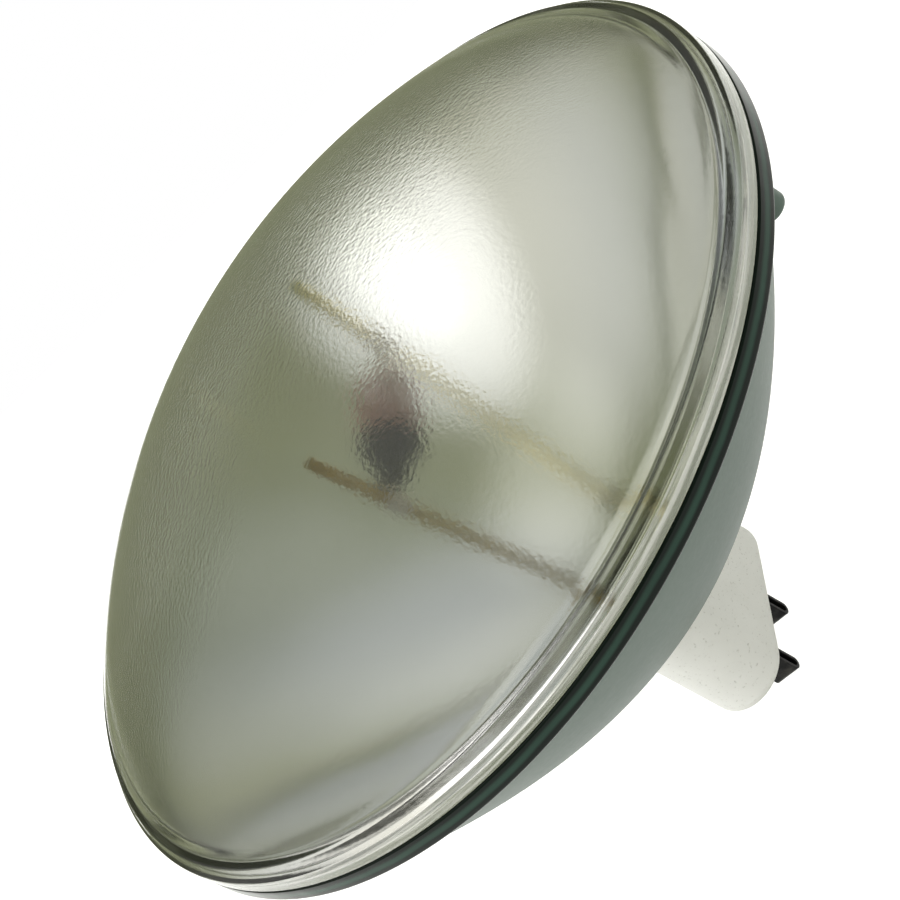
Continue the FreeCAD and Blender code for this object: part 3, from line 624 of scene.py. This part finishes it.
# %% [markdown]
# The bowl is pressed glass too, but it is hardly seen through: a film of aluminium lies on its
# inner face. From the front it is a mirror, from behind a satin slate grey, and only its bare
# rim shows the dark green of thick glass. So one mesh carries three finishes.

# %% Bowl finishes
MIRROR_GREY, MIRROR_PALE = (0.765, 0.770, 0.745), (0.82, 0.82, 0.80)
BACK_SLATE, BACK_PALE = (0.104, 0.142, 0.124), (0.130, 0.170, 0.150)
RIM_DARK, RIM_GREEN = (0.004, 0.008, 0.006), (0.026, 0.060, 0.044)
LINE_START, LINE_STOP = (0.0013, 0.0022), (0.0026, 0.0036)      # metres of height


def mirror_finish():
    """Aluminium film: bright, a little cloudy, with a faint ripple from the pressing."""
    finish = Finish("mirror film")
    cloud = finish.noise(35.0, 3.0)
    ripple = finish.noise(22.0, 1.0)
    return finish.surface(finish.principled(
        Base_Color=finish.blend(cloud, MIRROR_GREY, MIRROR_PALE),
        Metallic=1.0, Roughness=0.02 + cloud * 0.05, Normal=finish.bump(ripple, 0.0009)))


def bowl_back_finish():
    """The film seen from behind through glass: slate under a faint coat of gloss."""
    finish = Finish("bowl glass back")
    cloud = finish.noise(28.0, 4.0)
    speck = finish.noise(900.0, 2.0)
    return finish.surface(finish.principled(
        Base_Color=finish.blend(cloud, BACK_SLATE, BACK_PALE),
        Roughness=0.40 + speck * 0.12, IOR=1.18,
        Coat_Weight=0.15, Coat_Roughness=0.20, Coat_IOR=1.15,
        Normal=finish.bump(cloud, 0.0006)))


def rim_glass_finish():
    """Thick glass on edge: nearly black, with a greener line where light leaks along its middle."""
    finish = Finish("bowl glass rim")
    cloud = finish.noise(45.0, 3.0)
    z = finish.split(finish.place())[2] + (cloud - 0.5) * 0.0012
    line = z.step(*LINE_START) * (1.0 - z.step(*LINE_STOP))
    return finish.surface(finish.principled(
        Base_Color=finish.blend(line * (cloud * 0.6 + 0.5), RIM_DARK, RIM_GREEN),
        Roughness=0.16 + cloud * 0.08, IOR=1.20, Normal=finish.bump(cloud, 0.0004)))


# %% The bowl
BOWL_VERTEX = -61.6
BOWL_BACK_RADIUS = 99.3
MIRROR_VERTEX = -57.0
MIRROR_EDGE = 1.0
NECK_END = -67.0
NECK_HALF = (22.0, 6.1)
TIP_LENGTH = 6.8
TIP_RADIUS = 2.6
BOSS_CIRCLE, BOSS_RADIUS, BOSS_DROP = 95.2, 3.5, 6.8
BOSS_ANGLES = (85.0, 205.0, 325.0)
FERRULE_X = 16.0
FERRULE_RADIUS, FERRULE_WALL, FERRULE_SEAL = 4.6, 0.6, 1.5
BORE_RADIUS = 3.0
MIRROR_TOLERANCE = 0.35
DARK_RIM_LEVEL = 0.15


def stadium(half_length, half_width, count=96):
    """A slot outline: two half circles whose centres lie on X, joined by straights."""
    end = arc((half_length - half_width, 0), half_width, -90, 90, count // 2)
    return np.vstack([end, -end])


def bowl_profile():
    """The mirror from its vertex out to the rim, round the rim, and the back in to its vertex."""
    back_run = parabola(BOWL_VERTEX, (BOWL_BACK_RADIUS, 0.0), 60)
    mirror = parabola(MIRROR_VERTEX, (RIM_BORE, MIRROR_EDGE), 70)[::-1]
    top = SEAM - SEAM_GAP
    rim = rounded_run([
        back_run[-1], (RIM_RADIUS, 0.0), (RIM_RADIUS, top), (RIM_BORE, top), mirror[0],
    ], (0.8, 0.6, 0.3), steps=6)
    return np.vstack([back_run[:-1], spaced(rim, 0.9), mirror[1:]])[::-1]


def boss(angle):
    """A round locating boss with a rounded end, standing back from the rim."""
    profile = rounded_run([(0, 2.0), (BOSS_RADIUS, 2.0), (BOSS_RADIUS, -BOSS_DROP),
                           (0, -BOSS_DROP)], (0.4, 1.4), steps=8)
    made = turned("boss", profile, [], steps=48)
    turn = math.radians(angle)
    return moved(made, BOSS_CIRCLE * math.cos(turn), BOSS_CIRCLE * math.sin(turn))


def neck():
    """The slot-shaped stub behind the bowl that holds both ferrules."""
    outline = stadium(*NECK_HALF)
    heights = np.array([NECK_END, BOWL_VERTEX + 3.4])
    rows = np.stack([np.column_stack([outline, np.full(len(outline), z)]) for z in heights])
    return lofted("neck", rows[::-1], [])


def plug(radius, low, high, x=0.0, hollow=0.0):
    """A cylinder on an upright axis at x, or a tube if it has a hollow radius."""
    profile = [(hollow, high), (radius, high), (radius, low), (hollow, low)]
    return moved(turned("plug", profile, [], steps=48), x)


bowl = turned("bowl", bowl_profile(), [], steps=300)
exhaust_tip = turned("tip", rounded_run([
    (0, NECK_END + 2), (TIP_RADIUS, NECK_END + 2), (TIP_RADIUS * 0.9, NECK_END - 4.2),
    (TIP_RADIUS * 0.35, NECK_END - TIP_LENGTH + 0.2), (0, NECK_END - TIP_LENGTH),
], (0.3, 1.0, 0.3), steps=6), [], steps=48)
combine(bowl, [neck(), exhaust_tip] + [boss(angle) for angle in BOSS_ANGLES], "UNION")
cuts = [plug(BORE_RADIUS, NECK_END - 1, MIRROR_VERTEX + 8, side * FERRULE_X) for side in (-1, 1)]
cuts += [plug(FERRULE_RADIUS, NECK_END - 1, NECK_END + FERRULE_SEAL, side * FERRULE_X,
              FERRULE_RADIUS - FERRULE_WALL) for side in (-1, 1)]
combine(bowl, cuts, "DIFFERENCE")
for finish in (bowl_back_finish(), rim_glass_finish(), mirror_finish()):
    bowl.data.materials.append(finish)
centres = face_centres(bowl)
reach = np.hypot(centres[:, 0], centres[:, 1])
mirror_level = MIRROR_VERTEX + (MIRROR_EDGE - MIRROR_VERTEX) * (reach / RIM_BORE) ** 2
is_mirror = (centres[:, 2] > mirror_level - MIRROR_TOLERANCE) & (reach < RIM_BORE + 0.05)
is_rim = (centres[:, 2] > DARK_RIM_LEVEL) & ~is_mirror
finish_faces(bowl, np.where(is_mirror, 2, np.where(is_rim, 1, 0)))
keep_edges(bowl, 40)
own(bowl, "bowl_glass", "reflector_bowl")

# %% [markdown]
# The base is unglazed ceramic: an oblong box with round ends, open at the front where it is
# cemented over the glass neck, and cut to the bowl's curve. It is white, matt, very slightly
# mottled, and a little darker in the pores.

# %% The ceramic base
BASE_HALF = (BASE_HIGH.x, BASE_HIGH.y)
BASE_END = BASE_LOW.z
BASE_WALL = 2.6
BASE_FLOOR = 6.0
BASE_ROUNDING = 3.4
SEAT_GAP = 0.3
PRONG_X = 8.3
PRONG_WIDTH, PRONG_THICKNESS = 6.4, 3.2
STRIP = 0.8
BASE_EDGE = 0.5
SLOT_CLEARANCE = 0.1
CERAMIC_WHITE, CERAMIC_GREY = (0.90, 0.90, 0.875), (0.81, 0.81, 0.78)
PORE_GREY = (0.52, 0.50, 0.46)


def ceramic_finish():
    """White unglazed ceramic with faint mottling and fine pores."""
    finish = Finish("white ceramic")
    cloud = finish.noise(90.0, 4.0)
    pore = finish.noise(1600.0, 3.0).step(0.62, 0.75)
    colour = finish.blend(cloud, CERAMIC_WHITE, CERAMIC_GREY)
    return finish.surface(finish.principled(
        Base_Color=finish.blend(pore * 0.5, colour, PORE_GREY),
        Roughness=0.55 + cloud * 0.2, Normal=finish.bump(cloud * 0.4 - pore, 0.00012)))


def seat_height(outline):
    """Height of the bowl's back over a point, less the seat's gap."""
    reach = np.hypot(outline[:, 0], outline[:, 1])
    return BOWL_VERTEX * (1 - (reach / BOWL_BACK_RADIUS) ** 2) - SEAT_GAP


def base_rows():
    """Loops from the front edge down the outside, over the rounded end, and up the inside."""
    outside = stadium(*BASE_HALF)
    inside = stadium(BASE_HALF[0] - BASE_WALL, BASE_HALF[1] - BASE_WALL)
    rows = []
    low = BASE_END + BASE_ROUNDING
    for share in np.linspace(0, 1, 24):
        top = seat_height(outside) - BASE_EDGE
        rows.append(np.column_stack([outside, top + (low - top) * share]))
    for turn in np.radians(np.linspace(8, 90, 9)):
        inset = BASE_ROUNDING * (1 - math.cos(turn))
        loop = stadium(BASE_HALF[0] - inset, BASE_HALF[1] - inset)
        level = low - BASE_ROUNDING * math.sin(turn)
        rows.append(np.column_stack([loop, np.full(len(loop), level)]))
    outer = np.stack(rows)
    mouth = []
    for turn in np.radians(np.linspace(90, 10, 5)):
        inset = BASE_EDGE * (1 - math.cos(turn))
        loop = stadium(BASE_HALF[0] - inset, BASE_HALF[1] - inset)
        drop = BASE_EDGE * (1 - math.sin(turn))
        mouth.append(np.column_stack([loop, seat_height(loop) - drop]))
    floor = BASE_END + BASE_FLOOR
    inner = [np.column_stack([inside, np.full(len(inside), floor)]),
             np.column_stack([inside, seat_height(inside)])]
    return np.concatenate([np.stack(inner), np.stack(mouth), outer])


base = lofted("ceramic_base", base_rows(), [])
slots = []
for side in (-1, 1):
    half = np.array([PRONG_THICKNESS, PRONG_WIDTH]) / 2 + SLOT_CLEARANCE
    loop = np.array([(-1, -1), (1, -1), (1, 1), (-1, 1)]) * half + [side * PRONG_X, 0]
    slots.append(lofted("slot", np.stack([
        np.column_stack([loop, np.full(4, BASE_END + BASE_FLOOR + 2)]),
        np.column_stack([loop, np.full(4, BASE_END - 2)])]), []))
combine(base, slots, "DIFFERENCE")
base.data.materials.append(ceramic_finish())
keep_edges(base, 40)
own(base, "ceramic", "base_shell")

# %% [markdown]
# Each contact prong is one strip of metal folded double, with its two ends bent outwards inside
# the base. The photograph shows them nearly black, as plated brass turns in the heat.

# %% The prongs
PRONG_TIP = PRONG_LOW.z
PRONG_FOOT = 2.2
PRONG_BLACK, PRONG_WORN = (0.008, 0.008, 0.008), (0.045, 0.043, 0.038)


def prong_finish():
    """Dark tarnished plating with brighter patches where it is worn."""
    finish = Finish("prong plating")
    cloud = finish.noise(260.0, 4.0)
    scratch = finish.noise(900.0, 2.0)
    return finish.surface(finish.principled(
        Base_Color=finish.blend(cloud.step(0.45, 0.75), PRONG_BLACK, PRONG_WORN),
        Metallic=0.85, Roughness=0.35 + scratch * 0.25, Normal=finish.bump(scratch, 0.00006)))


def prong(side):
    """The folded strip: a centre line with round bends, given the strip's thickness."""
    middle = side * PRONG_X
    reach = PRONG_THICKNESS / 2 - STRIP / 2
    foot = BASE_END + BASE_FLOOR + STRIP / 2 + 0.02
    end = reach + PRONG_FOOT
    fold = PRONG_TIP + STRIP / 2
    line = rounded_run([
        (middle - end, foot), (middle - reach, foot), (middle - reach, fold),
        (middle + reach, fold), (middle + reach, foot), (middle + end, foot),
    ], (0.5, reach * 0.96, reach * 0.96, 0.5), steps=10)
    ahead = np.gradient(line, axis=0)
    ahead /= np.linalg.norm(ahead, axis=1)[:, None]
    across = np.stack([-ahead[:, 1], ahead[:, 0]], 1) * STRIP / 2
    section = rounded_run([(0, -1), (1, -1), (1, 1), (-1, 1), (-1, -1), (0, -1)],
                          (0.25,) * 4, steps=4)[1:-1]
    out, wide = section[None, :, 0], section[None, :, 1]
    rounding = 0.3 * STRIP * (1 - np.abs(wide))
    x = line[:, None, 0] + across[:, None, 0] * out
    y = (PRONG_WIDTH / 2 - rounding) * np.sign(wide)
    z = line[:, None, 1] + across[:, None, 1] * out
    rows = np.stack([x, np.broadcast_to(y, x.shape), z], -1)
    return lofted(f"prong_{'left' if side < 0 else 'right'}", rows, [prong_metal])


prong_metal = prong_finish()
for side, word in ((-1, "left"), (1, "right")):
    made = prong(side)
    keep_edges(made, 50)
    own(made, "prong_metal", f"contact_prong_{word}")

# %% [markdown]
# The metal inside the lamp is seen only through the stipple: two stiff rods of plated wire with
# a warm tone, clips, leads and the coil. Their CAD meshes are right, so they only get finishes.
# The rod that stands before the glare gets a paler, light straw copy of the same plating: painted
# light, for the way that rod is lit.

# %% Metal finishes
def metal(name, dark, light, roughness):
    """Drawn metal whose tone and gloss drift between two values."""
    finish = Finish(name)
    cloud = finish.noise(500.0, 3.0)
    return finish.surface(finish.principled(
        Base_Color=finish.blend(cloud, dark, light), Metallic=1.0,
        Roughness=roughness + cloud * 0.2, Normal=finish.bump(cloud, 0.00003)))


def dress(names, material):
    """Gives CAD nodes one finish."""
    for name in names:
        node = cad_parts[name]
        node.data.materials.clear()
        node.data.materials.append(material)


def pair(stem):
    """The names of a node that comes as a left and a right one."""
    return [f"{stem}_left", f"{stem}_right"]


dress(["support_rod_right"],
      metal("dark rod plating", (0.15, 0.100, 0.014), (0.38, 0.27, 0.060), 0.25))
# The same rod plating made paler for this rod: painted light where it is lit.
dress(["support_rod_left"],
      metal("rod plating painted lit", (0.72, 0.62, 0.30), (0.90, 0.80, 0.48), 0.25))
dress(pair("rod_clip"),
      metal("clip nickel", (0.30, 0.27, 0.22), (0.50, 0.46, 0.40), 0.3))
dress(pair("inner_lead") + pair("outer_lead"),
      metal("lead wire", (0.20, 0.19, 0.18), (0.34, 0.32, 0.30), 0.35))
dress(pair("seal_foil"),
      metal("molybdenum foil", (0.10, 0.09, 0.08), (0.20, 0.17, 0.15), 0.4))
dress(pair("inner_wire"),
      metal("copper wire", (0.55, 0.26, 0.14), (0.70, 0.38, 0.22), 0.3))
dress(pair("ferrule"),
      metal("ferrule plating", (0.40, 0.38, 0.34), (0.55, 0.53, 0.48), 0.3))
dress(["filament_coil"],
      metal("tungsten", (0.050, 0.050, 0.055), (0.12, 0.12, 0.13), 0.45))

# %% [markdown]
# The cement is grey and gritty, and keeps its CAD mesh.

# %% The cement
CEMENT_GREY, CEMENT_PALE = (0.45, 0.44, 0.40), (0.66, 0.65, 0.60)


def cement_finish():
    """Grey gritty cement."""
    finish = Finish("cement")
    grit = finish.noise(1200.0, 4.0)
    return finish.surface(finish.principled(
        Base_Color=finish.blend(grit, CEMENT_GREY, CEMENT_PALE), Roughness=0.9,
        Normal=finish.bump(grit, 0.0003)))


dress(["base_cement"], cement_finish())

# %% [markdown]
# The capsule is a quartz tube that was heated and squeezed flat at both ends, with the pip
# where it was filled. The photograph shows it as a smear that is pinkish brown on one side and
# nearly black on the other, so its glass carries a smoky film of these two colours. Slices
# across it pass from a circle to a flat rounded oblong.

# %% The capsule
CAPSULE_HEIGHT = 10.0
TUBE_RADIUS, TUBE_WALL = 6.6, 1.1
TUBE_END, PINCH_END = 10.6, 18.6
PINCH_HALF = (4.2, 1.7)
PIP_RADIUS, PIP_TOP = 1.5, 9.0
SHOULDER_BEFORE, SHOULDER_AFTER = 3.2, 2.2
ROOM_ROUNDING = 3.0
QUARTZ_TINT = (0.86, 0.83, 0.78)
FILM_BROWN, FILM_BLACK = (0.44, 0.24, 0.18), (0.010, 0.011, 0.002)
FILM_STARTS, FILM_THICKENS, FILM_DARKENS = (-0.016, -0.009), (0.001, 0.006), (0.006, 0.011)
FILM_THIN, FILM_MORE = 0.85, 0.15


def climb(value, low, high):
    """0 below low, 1 above high, and 3 t squared minus 2 t cubed between them."""
    share = np.clip((value - low) / (high - low), 0, 1)
    return share * share * (3 - 2 * share)


def capsule_rows(steps=72):
    """Slices across X: the power oval |y/a|^n + |z/b|^n = 1, whose a, b and n change along X."""
    x = np.concatenate([[-1.0, -0.996], np.linspace(-0.98, 0.98, 91), [0.996, 1.0]]) * PINCH_END
    flat = climb(np.abs(x), TUBE_END - SHOULDER_BEFORE, TUBE_END + SHOULDER_AFTER)[:, None]
    end = np.sqrt(1 - climb(np.abs(x), PINCH_END - 0.8, PINCH_END) * 0.35)[:, None]
    power = 2 / (2 + 1.6 * flat)
    angle = np.linspace(0, 2 * math.pi, steps, endpoint=False)[None, :]
    cosine, sine = np.cos(angle), np.sin(angle)
    half_y = (TUBE_RADIUS + (PINCH_HALF[0] - TUBE_RADIUS) * flat) * end
    half_z = (TUBE_RADIUS + (PINCH_HALF[1] - TUBE_RADIUS) * flat) * end
    y = half_y * np.sign(cosine) * np.abs(cosine) ** power
    z = half_z * np.sign(sine) * np.abs(sine) ** power
    return np.stack([x[:, None] + 0 * y, y, z], -1)


def quartz_finish():
    """Quartz under a film: clear at the left pinch, then brown, then black past the coil."""
    finish = Finish("smoky quartz")
    x = finish.split(finish.place())[0]
    cloud = finish.noise(220.0, 3.0)
    glass = finish.principled(Base_Color=QUARTZ_TINT, Roughness=0.05,
                              IOR=1.46, Transmission_Weight=1.0)
    film = finish.principled(
        Base_Color=finish.blend((x + cloud * 0.006).step(*FILM_DARKENS), FILM_BROWN, FILM_BLACK),
        Roughness=0.45, Specular_IOR_Level=0.1)
    amount = ((x + cloud * 0.004).step(*FILM_STARTS) * FILM_THIN
              + (x + cloud * 0.004).step(*FILM_THICKENS) * FILM_MORE)
    return finish.surface(finish.node("ShaderNodeMixShader", None, {0: amount, 1: glass, 2: film}))


capsule = lofted("capsule", capsule_rows(), [])
pip = turned("pip", [(0, PIP_TOP), (0.45, PIP_TOP), (PIP_RADIUS, TUBE_RADIUS + 0.6),
                     (PIP_RADIUS, TUBE_RADIUS - TUBE_WALL / 2), (0, TUBE_RADIUS - TUBE_WALL / 2)],
             [], steps=40)
bore = TUBE_RADIUS - TUBE_WALL
room_end = TUBE_END - TUBE_WALL
angle = np.radians([90, 60, 40, 20, 0])
half_room = np.column_stack([
    bore * np.cos(angle), room_end - ROOM_ROUNDING + ROOM_ROUNDING * np.sin(angle)])
hollow = turned("hollow", np.vstack([half_room, half_room[::-1] * [1, -1]]), [], steps=64)
hollow.data.transform(Matrix.Rotation(math.radians(90), 4, "Y"))
combine(capsule, [pip], "UNION")
combine(capsule, [hollow], "DIFFERENCE")
capsule.data.materials.append(quartz_finish())
keep_edges(capsule, 40)
own(moved(capsule, z=CAPSULE_HEIGHT), "quartz", "capsule_envelope")
